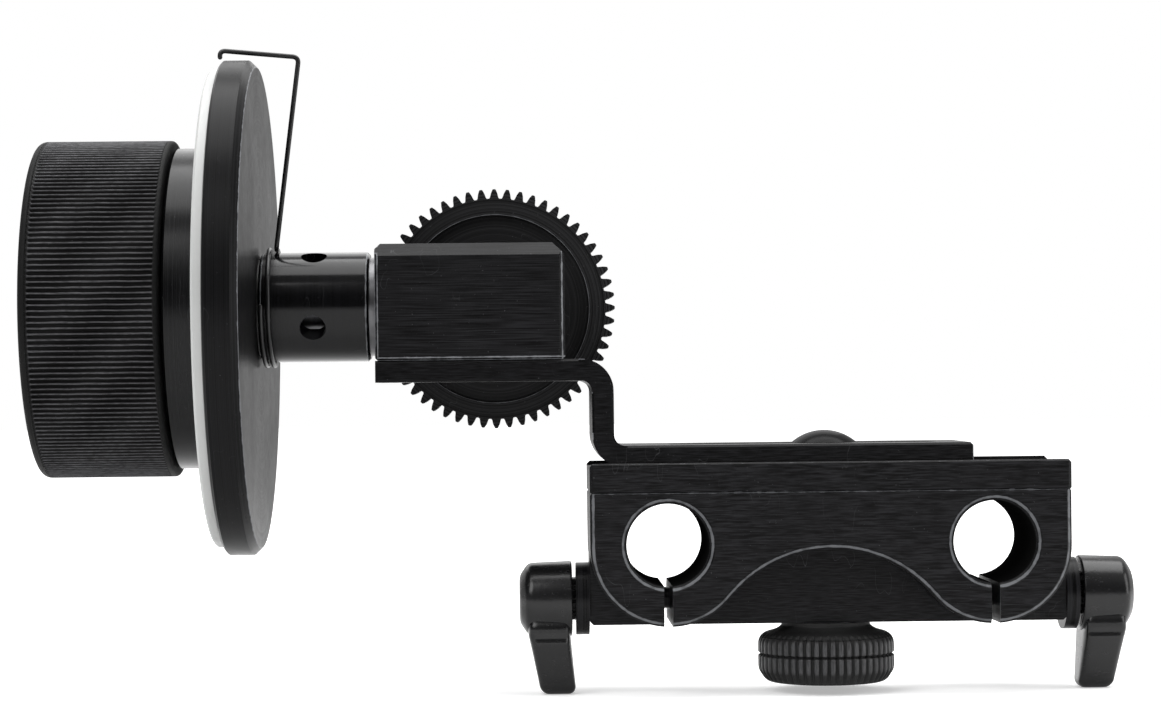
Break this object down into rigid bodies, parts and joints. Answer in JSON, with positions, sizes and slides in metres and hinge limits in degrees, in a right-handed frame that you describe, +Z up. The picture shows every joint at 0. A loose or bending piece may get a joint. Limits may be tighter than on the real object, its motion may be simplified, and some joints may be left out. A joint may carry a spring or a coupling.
{
  "type": "follow focus",
  "caption": "Rod-mounted follow focus with a ribbed handwheel, right-angle gearbox, wire pointer and toothed drive gear on a sliding Z bracket.",
  "frame": {"origin": "on the axis of the rod bore nearest the handwheel, halfway through the clamp's depth", "axes": "+Y along the rod bores towards the drive gear, +X along the handwheel shaft away from the handwheel, +Z up"},
  "size_m": [0.2025, 0.092, 0.1208],
  "materials": {
    "anodised_black": "satin black anodised, brushed",
    "black_oxide_steel": "black oxide",
    "bright_steel": "turned steel",
    "black_wire": "black coated spring wire",
    "black_nylon": "fine textured black nylon",
    "black_acetal": "machined black acetal",
    "grip_rubber": "ribbed black",
    "white_plastic": "smooth white, writable",
    "brass": "turned",
    "bronze": "sintered bronze"
  },
  "bodies": {
    "clamp": {"rod_clamp_body": "anodised_black", "clamp_top_plate": "anodised_black", "top_plate_screws": "black_oxide_steel", "carriage_bolt": "black_oxide_steel"},
    "carriage": {"z_bracket": "anodised_black", "housing_screws": "black_oxide_steel", "gearbox_housing": "anodised_black", "gearbox_cover": "anodised_black", "cover_screws": "black_oxide_steel", "bearing_sleeve": "anodised_black", "sleeve_ring": "bright_steel", "sleeve_grub_screw": "bright_steel", "outer_input_bush": "bronze", "inner_input_bush": "bronze", "front_output_bush": "bronze", "rear_output_bush": "bronze"},
    "handwheel": {"backing_disc": "anodised_black", "marking_disc": "white_plastic", "wheel_core": "anodised_black", "wheel_grip": "grip_rubber", "wheel_cap": "anodised_black", "wheel_screw": "bright_steel", "disc_screws": "bright_steel", "wheel_thrust_washer": "white_plastic", "input_shaft": "bright_steel", "input_mitre_gear": "bright_steel", "input_grub_screw": "black_oxide_steel", "input_thrust_washer": "bronze"},
    "drive": {"output_shaft": "bright_steel", "output_mitre_gear": "bright_steel", "output_grub_screw": "black_oxide_steel", "output_thrust_washer": "bronze", "drive_gear": "black_acetal", "gear_screw": "black_oxide_steel", "gear_washer": "black_oxide_steel"},
    "pointer": {"pointer_wire": "black_wire"},
    "left_pinch_screw": {"left_stud": "black_oxide_steel", "left_lever_screw": "bright_steel"},
    "left_handle": {"left_lever": "black_nylon", "left_lever_spring": "bright_steel"},
    "right_pinch_screw": {"right_stud": "black_oxide_steel", "right_lever_screw": "bright_steel"},
    "right_handle": {"right_lever": "black_nylon", "right_lever_spring": "bright_steel"},
    "nut_washer": {"thumb_nut_washer": "bright_steel"},
    "nut": {"thumb_nut": "black_nylon", "thumb_nut_insert": "brass"}
  },
  "joints": [
    {"name": "bracket_slide", "type": "slide", "parent": "clamp", "child": "carriage", "axis": [1, 0, 0], "range_m": [-0.016, 0.024]},
    {"name": "wheel_turn", "type": "hinge", "parent": "carriage", "child": "handwheel", "pos_m": [-0.06, 0, 0.04445], "axis": [1, 0, 0], "continuous": true},
    {"name": "gear_turn", "type": "hinge", "parent": "carriage", "child": "drive", "pos_m": [-0.0314, 0, 0.04445], "axis": [0, 1, 0], "continuous": true},
    {"name": "pointer_swing", "type": "hinge", "parent": "carriage", "child": "pointer", "pos_m": [-0.0733, 0, 0.04445], "axis": [1, 0, 0], "continuous": true},
    {"name": "left_screw_turn", "type": "hinge", "parent": "clamp", "child": "left_pinch_screw", "pos_m": [-0.0142, 0, -0.0104], "axis": [-1, 0, 0], "range_deg": [0, 180]},
    {"name": "left_handle_lift", "type": "slide", "parent": "left_pinch_screw", "child": "left_handle", "axis": [-1, 0, 0], "range_m": [0, 0.0022], "stiffness_N_per_m": 800, "springref_m": -0.0004, "deforming": ["left_lever_spring"]},
    {"name": "right_screw_turn", "type": "hinge", "parent": "clamp", "child": "right_pinch_screw", "pos_m": [0.0742, 0, -0.0104], "axis": [1, 0, 0], "range_deg": [0, 180]},
    {"name": "right_handle_lift", "type": "slide", "parent": "right_pinch_screw", "child": "right_handle", "axis": [1, 0, 0], "range_m": [0, 0.0022], "stiffness_N_per_m": 800, "springref_m": -0.0004, "deforming": ["right_lever_spring"]},
    {"name": "washer_drop", "type": "slide", "parent": "clamp", "child": "nut_washer", "axis": [0, 0, -1], "range_m": [0, 0.003]},
    {"name": "nut_turn", "type": "hinge", "parent": "nut_washer", "child": "nut", "pos_m": [0.03, 0, -0.02], "axis": [0, 0, -1], "range_deg": [0, 1080]}
  ],
  "couplings": [
    {"joint": "gear_turn", "follows": "wheel_turn", "ratio": 1},
    {"joint": "nut_turn", "follows": "washer_drop", "rad_per_m": 6283.2}
  ]
}
